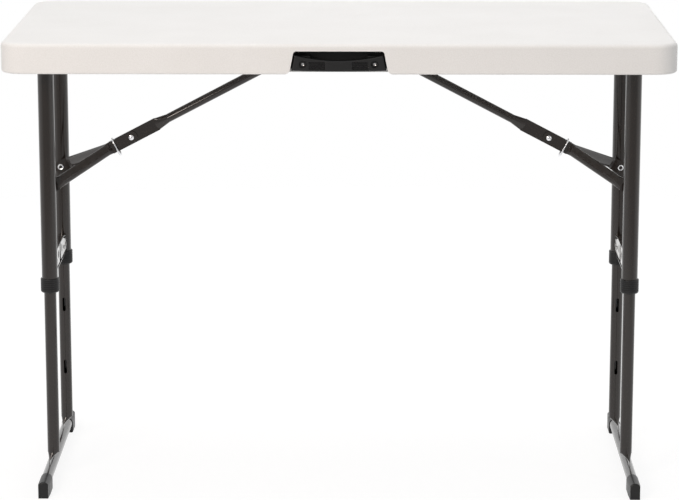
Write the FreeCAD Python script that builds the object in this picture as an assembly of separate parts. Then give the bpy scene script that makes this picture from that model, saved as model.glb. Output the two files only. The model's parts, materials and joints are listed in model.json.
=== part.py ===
import FreeCAD, Part
import math
import os
from FreeCAD import Vector

# Folding utility table, about four feet long, with a one-piece blow-moulded top, two folding leg
# frames, telescoping lower legs and jointed braces held straight by a wire ring.
#
# Millimetres. +X runs along the length, the carrying handle is on the -Y edge, +Z is up, and the
# origin is on the floor under the middle of the top. The table stands open at its tallest setting.
# Every side piece is made once for the +X end, and the -X end is its mirror image.

# ---------------------------------------------------------------- driving dimensions: the top
top_length = 1219.0
top_width = 610.0
table_height = 864.0
slab_thickness = 24.0
rim_depth = 55.0
rim_width = 38.0
corner_radius = 42.0
upper_edge_radius = 8.0
lower_edge_radius = 4.0
skin = 2.6                    # wall of the hollow moulding
boss_radius = 9.0             # solid pads round each screw inside the moulding
well_corner_extra = 8.0       # inner corners of the rim rounder than concentric

# ---------------------------------------------------------------- the carrying handle, in its pocket
pocket_half_top = 81.0
pocket_half_bottom = 89.1
pocket_roof_below_top = 13.0
pocket_depth = 34.0
pocket_corner = 6.0
pocket_mouth_round = 12.0
handle_recess = 1.0           # bar behind the rim's front face
handle_gap = 2.5              # between the bar's ends and the pocket's sides
handle_thickness = 13.0
handle_bottom_lift = 6.5      # ends of the lower edge above the rim's lower edge
handle_bottom_bow = 1.7
handle_below_roof = 7.0       # ends of the upper edge below the pocket's roof
handle_dip = 10.0
handle_screw_x = 64.5
handle_screw_lift = 11.5      # above the handle's lower edge
handle_seat_radius = 9.0
handle_seat_depth = 2.0
handle_screw_bite = 8.0       # into the pad behind the pocket
handle_post_inner = 52.0
groove_inner = 24.0
groove_outer = 53.0
groove_count = 4
groove_height = 1.8
groove_pitch = 3.6
groove_depth = 1.2
nameplate_half_height = 7.4
nameplate_raise = 0.6
handle_post_inset = (1.5, 2.0)    # posts' lower and upper edges inside the bar's

# ---------------------------------------------------------------- leg frames
leg_end_inset = 63.5          # tubes' axes from the ends of the top
leg_spread = 250.0
outer_radius = 15.0
outer_wall = 1.2
outer_length = 446.0
outer_below_slab = 14.0
plug_head = 2.0
plug_depth = 3.0
tube_clearance = 2.3          # radial, filled by bushes, between the outer and the inner tube
inner_wall = 1.2
bush_length = 22.0
bush_lip = 3.0
inner_overlap = 98.0          # length of inner tube inside the outer at the tallest setting
crimp_top = 54.0
crimp_bottom = 39.0
crimp_thickness = 3.4
slot_width = 6.0
slot_height = 28.0
slot_above_end = 32.5         # upper slot above the outer tube's lower end
slot_pitch = 127.0
slot_count = 3

collar_wall = 2.5
collar_below_end = 13.0
collar_above_end = 14.0
collar_ribs = 5
collar_rib_depth = 0.8
collar_lower_round = 4.0
collar_upper_round = 1.2
slide_gap = 0.1               # radial, between a sliding tube and its guide
taper_step = 0.35             # a pressed taper starts this much inside its tube's outer radius

foot_outset = 7.0              # of the foot bar, outwards from the leg tubes' axes
foot_bar_radius = 10.0
foot_bar_wall = 1.4
foot_length = 510.0
cap_length = 62.0
cap_wall = 1.2
cap_sole = 8.8                # extra under the bar
cap_end_wall = 22.0            # solid nose beyond the bar
cap_nose_taper = 2.0           # each side, over the solid nose
cap_base_chamfer = 2.0
cap_nose_round = 3.0

# ---------------------------------------------------------------- fold pivots under the top
pivot_below_slab = 26.0
pivot_inboard = 20.3          # of the leg tubes' axes
pivot_radius = 11.0
pivot_wall = 1.5
bracket_y = 168.0             # inner face of each bracket's ear
bracket_thickness = 2.5
bracket_length = 74.0
bracket_flange = 34.0
bracket_screw_inset = 9.0     # from the angle's ends
bracket_edge_inset = 11.0     # from the flange's outer edge
ear_radius = 12.0
ear_shoulder = 6.0            # depth of the ear at the angle's ends
bush_depth = 16.0
bush_head = (2.5, 3.0)        # beyond the journal's radius, and thickness
journal_radius = 7.0
journal_gap = 0.05
side_gap = 0.3

# ---------------------------------------------------------------- braces
fork_foot_below_slab = 276.5  # where the fork meets the leg tubes
brace_pivot_x = 38.2
brace_pivot_below_slab = 10.0
brace_radius = 8.25
brace_wall = 1.2
brace_flat_height = 25.0
brace_flat_thickness = 3.0
brace_flat_above = 52.0
brace_taper = 28.0
brace_tail = 40.0             # beyond the elbow
brace_solid_end = 14.0
fork_tube_radius = 10.5
fork_flat_height = 24.0
fork_flat_thickness = 3.0
fork_gap = 0.5
fork_straight = 44.0
fork_pad_tail = 6.0           # flat beyond the pad's round end
fork_tube_half_thick = 5.5
fork_lap = 2.0                # of the oval tube into each flat
fork_bend = 10.0              # length of each change from flat to oval
fork_pad_clear = 2.0          # between a fork pad and the leg tube it sits beside
rivet_radius = 3.0
rivet_head_radius = 5.0
rivet_head_height = 2.2
foot_rivet_radius = 5.8
foot_rivet_head = 2.6
foot_rivet_bore = 2.6
anchor_gap = 1.2              # between a brace's upper end and each anchor
anchor_overhang = 24.0
anchor_flange = 24.0
anchor_drop = 21.0
anchor_taper = 8.0
anchor_screw_inset = 9.0
anchor_pin_radius = 4.0
anchor_pin_head = 2.0

ring_wire = 3.2
ring_clearance = 1.0          # each side of a brace tube
ring_spare_height = 8.0       # over the brace's flat end
ring_beyond_elbow = 34.0
ring_hang = 2.95

# ---------------------------------------------------------------- height lock between the outer tubes
lock_depth = 16.0
lock_sheet = 1.5
lock_above_end = 16.0         # above the outer tubes' lower ends
lock_side_height = 30.0
lock_middle_height = 40.0
lock_shoulder = 58.0          # half width of the tall middle
lock_end_inset = 4.0          # ends inside the tubes' axes
lever_gap = 1.0
lever_sheet = 1.5
lever_inner_y = 12.0
lever_edge_gap = 2.6
heel_thickness = 2.0
heel_inset = 4.0
tongue_root = 6.0
tongue_thickness = 4.0
tongue_height = 20.0
tongue_gap = 0.3
lock_travel = 4.0
guide_radius = 2.0
guide_head = 1.8
guide_slack = 0.5
spring_radius = 3.6
spring_wire_radius = 0.6
spring_turns = 6
guide_insets = (17.0, 45.0)   # from the outer tubes' inner faces
finger_hole_radius = 8.0
finger_hole_y = 30.0
finger_hole_lift = 6.0

screw_radius = 2.0
screw_head_radius = 4.2
screw_head_height = 2.4
screw_length = 15.0
screw_gap = 0.05
screw_slot = (1.0, 1.4)       # width and depth of the cross recess
sheet_hole_gap = 0.3          # radial, round a screw's shank in sheet steel
past = 5.0                    # how far cutters run past what they cut

# ---------------------------------------------------------------- places that follow
half_length = top_length / 2
half_width = top_width / 2
well_corner = max(corner_radius - rim_width, 0.0) + well_corner_extra
rim_bottom = table_height - rim_depth
slab_bottom = table_height - slab_thickness

pocket_roof = table_height - pocket_roof_below_top
pocket_back = -half_width + pocket_depth
pocket_slope = (pocket_half_bottom - pocket_half_top) / (pocket_roof - rim_bottom)
handle_front = -half_width + handle_recess
handle_back = handle_front + handle_thickness
handle_low = rim_bottom + handle_bottom_lift
handle_high = pocket_roof - handle_below_roof
handle_screw_z = handle_low + handle_screw_lift

leg_axis_x = half_length - leg_end_inset
tube_y = leg_spread / 2
tube_face_y = tube_y - outer_radius
outer_top = slab_bottom - outer_below_slab
outer_bottom = outer_top - outer_length
inner_radius = outer_radius - outer_wall - tube_clearance
inner_top = outer_bottom + inner_overlap
crimp_width = math.pi * inner_radius - crimp_thickness
top_slot_z = outer_bottom + slot_above_end
collar_radius = outer_radius + collar_wall
collar_bottom = outer_bottom - collar_below_end
collar_top = outer_bottom + collar_above_end
cap_radius = foot_bar_radius + cap_wall
foot_bar_x = leg_axis_x + foot_outset
foot_bar_z = cap_radius + cap_sole
pivot_x = leg_axis_x - pivot_inboard
pivot_z = slab_bottom - pivot_below_slab

# The brace and its fork lie in one line from the upper pivot to the leg tubes. A leg folded by a
# right angle brings the fork back along the brace, so the two lengths follow from the two spans.
fork_foot_z = slab_bottom - fork_foot_below_slab
brace_pivot_z = slab_bottom - brace_pivot_below_slab
open_span = math.hypot(leg_axis_x - brace_pivot_x, brace_pivot_z - fork_foot_z)
folded_span = math.hypot(pivot_x - (pivot_z - fork_foot_z) - brace_pivot_x,
                         brace_pivot_z - (pivot_z - pivot_inboard))
brace_length = (open_span + folded_span) / 2
fork_length = (open_span - folded_span) / 2
brace_slope = math.degrees(math.atan2(brace_pivot_z - fork_foot_z, leg_axis_x - brace_pivot_x))
anchor_half_length = brace_pivot_x + anchor_overhang
anchor_inner_y = brace_radius + anchor_gap
fork_inner_y = brace_flat_thickness / 2 + fork_gap
fork_pad_outer_y = tube_face_y - fork_pad_clear
fork_pad_inner_y = fork_pad_outer_y - fork_flat_thickness
ring_inner_width = 2 * (brace_radius + ring_clearance)
ring_inner_height = brace_flat_height + ring_spare_height

lock_front_x = leg_axis_x - lock_depth / 2
lock_back_x = leg_axis_x + lock_depth / 2
lock_bottom = outer_bottom + lock_above_end
lock_reach = tube_y - lock_end_inset
guide_places = [tube_face_y - inset for inset in guide_insets]
lock_fall = (lock_middle_height - lock_side_height) / (lock_reach - lock_shoulder)
finger_hole_z = top_slot_z + finger_hole_lift


# ---------------------------------------------------------------- small helpers
def rod(start, end, radius):
    """Solid cylinder from one point to another."""
    way = end.sub(start)
    return Part.makeCylinder(radius, way.Length, start, way)


def pipe(start, end, radius, wall):
    """Hollow round tube from one point to another."""
    return rod(start, end, radius).cut(rod(start, end, radius - wall))


def upright(x, y, z0, z1, radius):
    return rod(Vector(x, y, z0), Vector(x, y, z1), radius)


def across(x, z, y0, y1, radius):
    return rod(Vector(x, y0, z), Vector(x, y1, z), radius)


def block(x0, x1, y0, y1, z0, z1):
    return Part.makeBox(x1 - x0, y1 - y0, z1 - z0, Vector(x0, y0, z0))


def side_plate(outline, y0, y1):
    """Plate cut to an outline of (x, z) points, from y0 to y1."""
    points = [Vector(x, y0, z) for x, z in outline]
    face = Part.Face(Part.makePolygon(points + points[:1]))
    return face.extrude(Vector(0, y1 - y0, 0))


def end_plate(outline, x0, x1):
    """Plate cut to an outline of (y, z) points, from x0 to x1."""
    points = [Vector(x0, y, z) for y, z in outline]
    face = Part.Face(Part.makePolygon(points + points[:1]))
    return face.extrude(Vector(x1 - x0, 0, 0))


def lug(x0, x1, z, half_height, y0, y1):
    """Flat strip in the XZ plane with both ends rounded about x0 and x1."""
    strip = block(x0, x1, y0, y1, z - half_height, z + half_height)
    return strip.fuse([across(x0, z, y0, y1, half_height), across(x1, z, y0, y1, half_height)])


def oval(centre, tall, wide, half_tall, half_wide):
    """Closed oval round a centre; tall and wide are unit directions, half_tall the larger half."""
    curve = Part.Ellipse(centre + tall * half_tall, centre + wide * half_wide, centre)
    return Part.Wire(curve.toShape())


def joined(shapes):
    return shapes[0].fuse(shapes[1:]).removeSplitter()


def edges_where(shape, test):
    return [edge for edge in shape.Edges if test(edge.BoundBox)]


def rounded_slab(half_x, half_y, z0, z1, radius):
    """Box with rounded corners in plan."""
    slab = block(-half_x, half_x, -half_y, half_y, z0, z1)
    corners = edges_where(slab, lambda b: b.ZLength > (z1 - z0) / 2)
    return slab.makeFillet(radius, corners)


def in_line(shape, x, z, slope):
    """Turns a piece drawn along +X so that it runs out from (x, z) and down at the slope."""
    turned = shape.copy()
    turned.rotate(Vector(0, 0, 0), Vector(0, 1, 0), slope)
    turned.translate(Vector(x, 0, z))
    return turned


def mirror_y(shape):
    return shape.mirror(Vector(0, 0, 0), Vector(0, 1, 0))


def mirror_x(shape):
    return shape.mirror(Vector(0, 0, 0), Vector(1, 0, 0))


def screw(tip_way, seat, length):
    """Pan-head screw: seat is the point under its head, tip_way the direction of its shank."""
    crown = seat - tip_way * screw_head_height
    shank = rod(seat, seat + tip_way * length, screw_radius)
    head = rod(crown, seat, screw_head_radius)
    outer = [edge for edge in head.Edges if (edge.CenterOfMass - crown).Length < 0.1]
    head = head.makeFillet(screw_head_height * 0.6, outer)
    slot_size = screw_head_radius * 1.1
    wide, deep = screw_slot
    cross = [
        Part.makeBox(slot_size, wide, deep, Vector(-slot_size / 2, -wide / 2, 0)),
        Part.makeBox(wide, slot_size, deep, Vector(-wide / 2, -slot_size / 2, 0)),
    ]
    recess = cross[0].fuse(cross[1])
    recess.Placement = FreeCAD.Placement(crown, FreeCAD.Rotation(Vector(0, 0, 1), tip_way))
    return head.fuse(shank).cut(recess)


# ---------------------------------------------------------------- the moulded top
def bracket_screw_places():
    """(x, y) of the screws through one end's two hinge brackets, +X end."""
    reach = bracket_length / 2 - bracket_screw_inset
    y = bracket_y + bracket_thickness + bracket_flange - bracket_edge_inset
    return [(pivot_x + dx, side * y) for dx in (-reach, reach) for side in (-1, 1)]


def anchor_screw_places():
    """(x, y) of the screws through the two brace anchors."""
    x = anchor_half_length - anchor_screw_inset
    y = anchor_inner_y + bracket_thickness + anchor_flange - anchor_screw_inset
    return [(end * x, side * y) for end in (-1, 1) for side in (-1, 1)]


def top_screw_places():
    ends = [(side * x, y) for x, y in bracket_screw_places() for side in (-1, 1)]
    return ends + anchor_screw_places()


def pocket_shape(grow=0.0):
    """The handle's pocket in the front rim, flared at its mouth, or the same grown by a wall."""
    low = rim_bottom - past
    roof = pocket_roof + grow
    narrow = pocket_half_top + grow
    wide = pocket_half_bottom - pocket_slope * pocket_mouth_round + grow
    flare = wide + pocket_mouth_round
    turn = pocket_mouth_round * (1 - math.sqrt(0.5))
    front = -half_width - past

    def point(x, z):
        return Vector(x, front, z)

    mouth = rim_bottom + pocket_mouth_round
    outline = Part.Wire([
        Part.makeLine(point(-flare, low), point(flare, low)),
        Part.makeLine(point(flare, low), point(flare, rim_bottom)),
        Part.Arc(point(flare, rim_bottom), point(wide + turn, rim_bottom + turn),
                 point(wide, mouth)).toShape(),
        Part.makeLine(point(wide, mouth), point(narrow, roof)),
        Part.makeLine(point(narrow, roof), point(-narrow, roof)),
        Part.makeLine(point(-narrow, roof), point(-wide, mouth)),
        Part.Arc(point(-wide, mouth), point(-wide - turn, rim_bottom + turn),
                 point(-flare, rim_bottom)).toShape(),
        Part.makeLine(point(-flare, rim_bottom), point(-flare, low)),
    ])
    pocket = Part.Face(outline).extrude(Vector(0, pocket_back + grow - front, 0))
    ceiling = edges_where(
        pocket, lambda b: b.ZLength < 0.01 and b.XLength < 0.01 and b.ZMin > roof - 1.0)
    return pocket.makeFillet(pocket_corner, ceiling)


def top_cavity():
    """The sealed air space inside the moulding, with solid pads left round every screw."""
    slab_air = rounded_slab(half_length - skin, half_width - skin, slab_bottom + skin,
                            table_height - skin, corner_radius - skin)
    rim_air = rounded_slab(half_length - skin, half_width - skin, rim_bottom + skin,
                           slab_bottom + 2 * skin, corner_radius - skin)
    inner = rounded_slab(half_length - rim_width + skin, half_width - rim_width + skin, rim_bottom,
                         slab_bottom + skin, well_corner + 2 * skin)
    air = slab_air.fuse(rim_air.cut(inner))
    air = air.cut(pocket_shape(skin))
    upper = edges_where(air, lambda b: b.ZMin > table_height - skin - 0.01)
    air = air.makeFillet(upper_edge_radius - skin, upper)
    pads = [upright(x, y, slab_bottom, table_height, boss_radius) for x, y in top_screw_places()]
    pads += [across(side * handle_screw_x, handle_screw_z, pocket_back - 1.0,
                    -half_width + rim_width + past, boss_radius) for side in (-1, 1)]
    return air.cut(pads)


def table_top():
    body = rounded_slab(half_length, half_width, rim_bottom, table_height, corner_radius)
    upper = edges_where(body, lambda b: b.ZMin > table_height - 0.01)
    body = body.makeFillet(upper_edge_radius, upper)
    well = rounded_slab(half_length - rim_width, half_width - rim_width, rim_bottom - past,
                        slab_bottom, well_corner)
    body = body.cut(well)
    lower = edges_where(body, lambda b: b.ZMax < rim_bottom + 0.01)
    body = body.makeFillet(lower_edge_radius, lower)
    body = body.cut(pocket_shape())
    body = body.cut(top_cavity())
    holes = [upright(x, y, slab_bottom - 1.0, slab_bottom + screw_length - bracket_thickness + 1.0,
                     screw_radius + screw_gap) for x, y in top_screw_places()]
    holes += [across(side * handle_screw_x, handle_screw_z, pocket_back - 1.0,
                     pocket_back + rim_width, screw_radius + screw_gap) for side in (-1, 1)]
    return body.cut(holes)


# ---------------------------------------------------------------- the handle
def carry_handle():
    low = handle_low
    high = handle_high
    wide = pocket_half_bottom - pocket_slope * handle_bottom_lift - handle_gap
    narrow = wide - pocket_slope * (high - low)
    corners = [Vector(x, handle_front, z) for x, z in
               ((-wide, low), (wide, low), (narrow, high), (-narrow, high))]
    under = Part.Arc(corners[0], Vector(0, handle_front, low - handle_bottom_bow), corners[1])
    over = Part.Arc(corners[2], Vector(0, handle_front, high - handle_dip), corners[3])
    outline = Part.Wire([
        under.toShape(),
        Part.makeLine(corners[1], corners[2]),
        over.toShape(),
        Part.makeLine(corners[3], corners[0]),
    ])
    bar = Part.Face(outline).extrude(Vector(0, handle_thickness, 0))
    below, above = handle_post_inset
    post = block(handle_post_inner, narrow, handle_back - 1.0, pocket_back, low + below, high - above)
    bar = joined([bar, post, mirror_x(post)])
    middle = (low + high - handle_dip) / 2
    plate_x = groove_inner - groove_pitch / 4
    plate = block(-plate_x, plate_x, handle_front - nameplate_raise, handle_front + 1.0,
                  middle - nameplate_half_height, middle + nameplate_half_height)
    bar = bar.fuse(plate)
    cuts = []
    for side in (-1, 1):
        x0, x1 = sorted((side * groove_inner, side * groove_outer))
        for step in range(groove_count):
            z = middle + (step - (groove_count - 1) / 2) * groove_pitch
            cuts.append(block(x0, x1, handle_front - past, handle_front + groove_depth,
                              z - groove_height / 2, z + groove_height / 2))
        x = side * handle_screw_x
        cuts.append(across(x, handle_screw_z, handle_front - past, handle_front + handle_seat_depth,
                           handle_seat_radius))
        cuts.append(across(x, handle_screw_z, handle_front - past, pocket_back + past,
                           screw_radius + screw_gap))
    return bar.cut(cuts)


def handle_screws():
    seat_y = handle_front + handle_seat_depth
    reach = pocket_back - seat_y + handle_screw_bite
    return Part.makeCompound([
        screw(Vector(0, 1, 0), Vector(side * handle_screw_x, seat_y, handle_screw_z), reach)
        for side in (-1, 1)])


# ---------------------------------------------------------------- fixed steel under the top
def hinge_bracket():
    """Angle with one ear that carries the fold pivot: +X end, +Y side."""
    y0 = bracket_y
    y1 = bracket_y + bracket_thickness
    x0 = pivot_x - bracket_length / 2
    x1 = pivot_x + bracket_length / 2
    flange = block(x0, x1, y0, y1 + bracket_flange, slab_bottom - bracket_thickness, slab_bottom)
    shoulder = slab_bottom - ear_shoulder
    ear = side_plate([(x0, slab_bottom), (x1, slab_bottom), (x1, shoulder),
                      (pivot_x + ear_radius, pivot_z), (pivot_x - ear_radius, pivot_z),
                      (x0, shoulder)], y0, y1)
    ear = ear.fuse(across(pivot_x, pivot_z, y0, y1, ear_radius))
    holes = [upright(x, y, slab_bottom - past, slab_bottom + past, screw_radius + sheet_hole_gap)
             for x, y in bracket_screw_places() if y > 0]
    holes.append(across(pivot_x, pivot_z, y0 - 1.0, y1 + 1.0, journal_radius + journal_gap))
    return joined([flange, ear]).cut(holes)


def underside_screws():
    """The screws of the four hinge brackets and the two brace anchors."""
    low = slab_bottom - bracket_thickness
    return Part.makeCompound([screw(Vector(0, 0, 1), Vector(x, y, low), screw_length)
                              for x, y in top_screw_places()])


def brace_anchor():
    """Angle beside the braces' upper ends, +Y side, one hole for each brace's pin."""
    y0 = anchor_inner_y
    y1 = y0 + bracket_thickness
    flange = block(-anchor_half_length, anchor_half_length, y0, y1 + anchor_flange,
                   slab_bottom - bracket_thickness, slab_bottom)
    low = slab_bottom - anchor_drop
    low_x = anchor_half_length - anchor_taper
    ear = side_plate([(-anchor_half_length, slab_bottom), (anchor_half_length, slab_bottom),
                      (low_x, low), (-low_x, low)], y0, y1)
    holes = [upright(x, y, slab_bottom - past, slab_bottom + past, screw_radius + sheet_hole_gap)
             for x, y in anchor_screw_places() if y > 0]
    holes += [across(side * brace_pivot_x, brace_pivot_z, y0 - 1.0, y1 + 1.0,
                     anchor_pin_radius + journal_gap) for side in (-1, 1)]
    return joined([flange, ear]).cut(holes)


def brace_pin():
    """Pin through both anchors and the brace's upper end, with a head at each end."""
    y1 = anchor_inner_y + bracket_thickness
    shank = across(brace_pivot_x, brace_pivot_z, -y1, y1, anchor_pin_radius)
    head = across(brace_pivot_x, brace_pivot_z, y1, y1 + anchor_pin_head,
                  anchor_pin_radius + anchor_pin_head)
    return joined([shank, head, mirror_y(head)])


# ---------------------------------------------------------------- one leg's upper frame
def pivot_tube():
    end = bracket_y - side_gap
    return pipe(Vector(pivot_x, -end, pivot_z), Vector(pivot_x, end, pivot_z), pivot_radius, pivot_wall)


def pivot_bushes():
    """Nylon journals pressed into the pivot tube's ends, turning in the brackets' ears."""
    y0 = bracket_y - side_gap
    y1 = bracket_y + bracket_thickness + side_gap
    wider, thick = bush_head
    bush = joined([
        across(pivot_x, pivot_z, y0 - bush_depth, y0, pivot_radius - pivot_wall - screw_gap),
        across(pivot_x, pivot_z, y0, y1, journal_radius),
        across(pivot_x, pivot_z, y1, y1 + thick, journal_radius + wider),
    ])
    return Part.makeCompound([bush, mirror_y(bush)])


def saddle(y):
    """Cutter that fits an outer tube at y round the pivot tube."""
    return across(pivot_x, pivot_z, y - 2 * outer_radius, y + 2 * outer_radius,
                  pivot_radius + screw_gap)


def tube_slot(y, z):
    """Cutter for the lock slot in the wall that faces the other tube; y is the tube's axis."""
    inward = -1 if y > 0 else 1
    far = y + inward * (outer_radius + past)
    half = slot_width / 2
    end = slot_height / 2 - half
    cut = block(leg_axis_x - half, leg_axis_x + half, min(y, far), max(y, far), z - end, z + end)
    ends = [across(leg_axis_x, z + side * end, min(y, far), max(y, far), half) for side in (-1, 1)]
    return cut.fuse(ends)


def outer_tube(y):
    tube = pipe(Vector(leg_axis_x, y, outer_bottom), Vector(leg_axis_x, y, outer_top),
                outer_radius, outer_wall)
    return tube.cut([saddle(y), tube_slot(y, top_slot_z)])


def tube_plugs():
    """Plastic plugs that close the outer tubes' upper ends."""
    plugs = []
    for y in (-tube_y, tube_y):
        head = upright(leg_axis_x, y, outer_top, outer_top + plug_head, outer_radius)
        spigot = upright(leg_axis_x, y, outer_top - plug_depth, outer_top,
                         outer_radius - outer_wall - screw_gap)
        plugs.append(joined([head, spigot]).cut(saddle(y)))
    return Part.makeCompound(plugs)


def collar(y):
    """Ribbed sleeve pushed over the outer tube's lower end, guiding the inner tube."""
    sleeve = upright(leg_axis_x, y, collar_bottom, collar_top, collar_radius)
    lower = edges_where(sleeve, lambda b: b.ZMax < collar_bottom + 0.01)
    sleeve = sleeve.makeFillet(collar_lower_round, lower)
    upper = edges_where(sleeve, lambda b: b.ZMin > collar_top - 0.01)
    sleeve = sleeve.makeFillet(collar_upper_round, upper)
    cuts = [upright(leg_axis_x, y, outer_bottom - screw_gap, collar_top + past,
                    outer_radius + screw_gap),
            upright(leg_axis_x, y, collar_bottom - past, outer_bottom + past,
                    inner_radius + slide_gap)]
    first = collar_bottom + 1.5 * collar_lower_round
    pitch = (collar_top - first - collar_upper_round) / collar_ribs
    for step in range(collar_ribs):
        z = first + step * pitch
        band = upright(leg_axis_x, y, z, z + pitch * 0.4, collar_radius + past)
        core = upright(leg_axis_x, y, z - past, z + pitch, collar_radius - collar_rib_depth)
        cuts.append(band.cut(core))
    return sleeve.cut(cuts)


def lock_outline(inset, reach):
    """Outline of the lock channel as (y, z) points, raised in the middle and cut off at the reach.
    The inset is measured square to the sloping edges."""
    inset = inset * math.hypot(1.0, lock_fall)
    low = lock_bottom + inset
    middle = lock_bottom + lock_middle_height - inset
    side = middle - lock_fall * (reach - lock_shoulder)
    return [(-reach, low), (reach, low), (reach, side), (lock_shoulder, middle),
            (-lock_shoulder, middle), (-reach, side)]


def lock_channel():
    """Steel channel across the outer tubes, open towards the table's middle."""
    whole = end_plate(lock_outline(0.0, lock_reach), lock_front_x, lock_back_x)
    hollow = end_plate(lock_outline(lock_sheet, lock_reach + past), lock_front_x - past,
                       lock_back_x - lock_sheet)
    tubes = [upright(leg_axis_x, y, outer_bottom, outer_top, outer_radius + screw_gap)
             for y in (-tube_y, tube_y)]
    holes = [rod(Vector(lock_front_x, side * y, top_slot_z), Vector(lock_back_x + past, side * y, top_slot_z),
                 guide_radius + screw_gap) for y in guide_places for side in (-1, 1)]
    return whole.cut([hollow] + tubes + holes)


def lock_guides():
    """Shouldered rivets fixed in the channel's back; the levers slide along them."""
    rivets = []

    def length_of(x0, x1, y, radius):
        return rod(Vector(x0, y, top_slot_z), Vector(x1, y, top_slot_z), radius)

    for side in (-1, 1):
        for place in guide_places:
            y = side * place
            rivets.append(joined([
                length_of(lock_front_x, lock_back_x, y, guide_radius),
                length_of(lock_front_x - guide_head / 2, lock_front_x + lever_gap - side_gap, y,
                          guide_radius + guide_head),
                length_of(lock_back_x, lock_back_x + guide_head / 2, y, guide_radius + guide_head),
            ]))
    return Part.makeCompound(rivets)


def lock_lever():
    """Sprung lever of the height lock, +Y side; its tongue goes out through the tube's slot."""
    x0 = lock_front_x + lever_gap
    x1 = x0 + lever_sheet
    low = lock_bottom + lock_sheet + lever_edge_gap
    side = lock_bottom + lock_side_height - lock_sheet - 2 * lever_edge_gap
    middle = lock_bottom + lock_middle_height - lock_sheet - lever_edge_gap
    end = tube_face_y - lock_travel
    plate = end_plate([(lever_inner_y, low), (end, low), (end, side), (lock_shoulder, middle),
                       (lever_inner_y, middle)], x0, x1)
    half = tongue_thickness / 2
    tip = tube_y - inner_radius - tongue_gap
    z0 = top_slot_z - tongue_height / 2
    z1 = top_slot_z + tongue_height / 2
    root = end - tongue_root
    link = block(x0, leg_axis_x + half, root, root + tongue_thickness, z0, z1)
    tongue = block(leg_axis_x - half, leg_axis_x + half, root, tip, z0, z1)
    heel = block(x0, leg_axis_x + half, lever_inner_y, lever_inner_y + heel_thickness,
                 low + heel_inset, middle - heel_inset)
    lever = joined([plate, link, tongue, heel])
    cuts = []

    def through(y, z, radius):
        return rod(Vector(x0 - past, y, z), Vector(x0 + lever_sheet + 1.0, y, z), radius)

    slack = guide_radius + guide_slack
    for place in guide_places:
        cuts.append(through(place + guide_slack, top_slot_z, slack))
        cuts.append(through(place - lock_travel, top_slot_z, slack))
        cuts.append(block(x0 - past, x1 + 1.0, place - lock_travel, place + guide_slack,
                          top_slot_z - slack, top_slot_z + slack))
    cuts.append(through(finger_hole_y, finger_hole_z, finger_hole_radius))
    return lever.cut(cuts)


def lock_spring():
    """Compression spring between the levers' heels."""
    length = 2 * (lever_inner_y - tongue_gap - spring_wire_radius)
    helix = Part.makeHelix(length / spring_turns, length, spring_radius)
    circle = Part.Circle(Vector(spring_radius, 0, 0), Vector(0, 1, 0), spring_wire_radius)
    coil = Part.Wire(helix.Edges).makePipeShell([Part.Wire(circle.toShape())], True, True)
    coil.rotate(Vector(0, 0, 0), Vector(1, 0, 0), -90)
    coil.translate(Vector(leg_axis_x, -length / 2, finger_hole_z))
    return coil


# ---------------------------------------------------------------- one leg's sliding lower frame
def inner_tube(y):
    tube = pipe(Vector(leg_axis_x, y, crimp_top), Vector(leg_axis_x, y, inner_top),
                inner_radius, inner_wall)
    slots = [tube_slot(y, top_slot_z - step * slot_pitch) for step in range(slot_count)]
    tube = tube.cut(slots)
    along = Vector(0, 1, 0)
    thick = Vector(1, 0, 0)
    root = inner_radius - taper_step

    def section(x, z, half_along, half_thick):
        return oval(Vector(x, y, z), along, thick, half_along, half_thick)

    flat = section(foot_bar_x, crimp_bottom, crimp_width / 2, crimp_thickness / 2)
    crimp = Part.makeLoft([section(leg_axis_x, crimp_top + taper_step, root + 0.001, root), flat], True, True)
    blade = section(foot_bar_x, foot_bar_z, crimp_width / 2, crimp_thickness / 2)
    foot = Part.makeLoft([flat, blade], True, True)
    bar = across(foot_bar_x, foot_bar_z, y - crimp_width, y + crimp_width, foot_bar_radius + screw_gap)
    return joined([tube, crimp, foot.cut(bar)])


def inner_bushes():
    """Plastic guides on the inner tubes' upper ends, sliding inside the outer tubes."""
    bore = outer_radius - outer_wall - 3 * slide_gap
    bushes = []
    for y in (-tube_y, tube_y):
        ring = upright(leg_axis_x, y, inner_top - bush_length, inner_top + bush_lip, bore)
        hole = upright(leg_axis_x, y, inner_top - bush_length - past, inner_top,
                       inner_radius + screw_gap)
        vent = upright(leg_axis_x, y, inner_top - past, inner_top + past, inner_radius - bush_lip)
        bushes.append(ring.cut([hole, vent]))
    return Part.makeCompound(bushes)


def foot_bar():
    end = foot_length / 2 - cap_end_wall
    return pipe(Vector(foot_bar_x, -end, foot_bar_z), Vector(foot_bar_x, end, foot_bar_z),
                foot_bar_radius, foot_bar_wall)


def cap_cheek(side, y1):
    """Wedge that narrows one side of a cap's solid nose."""
    near = foot_bar_x + side * cap_radius
    slope = cap_nose_taper / cap_end_wall
    points = [Vector(near, y1 - cap_end_wall, -past),
              Vector(near - side * slope * (cap_end_wall + past), y1 + past, -past),
              Vector(near + side * past, y1 + past, -past),
              Vector(near + side * past, y1 - cap_end_wall, -past)]
    return Part.Face(Part.makePolygon(points + points[:1])).extrude(
        Vector(0, 0, foot_bar_z + cap_radius + 2 * past))


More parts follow.
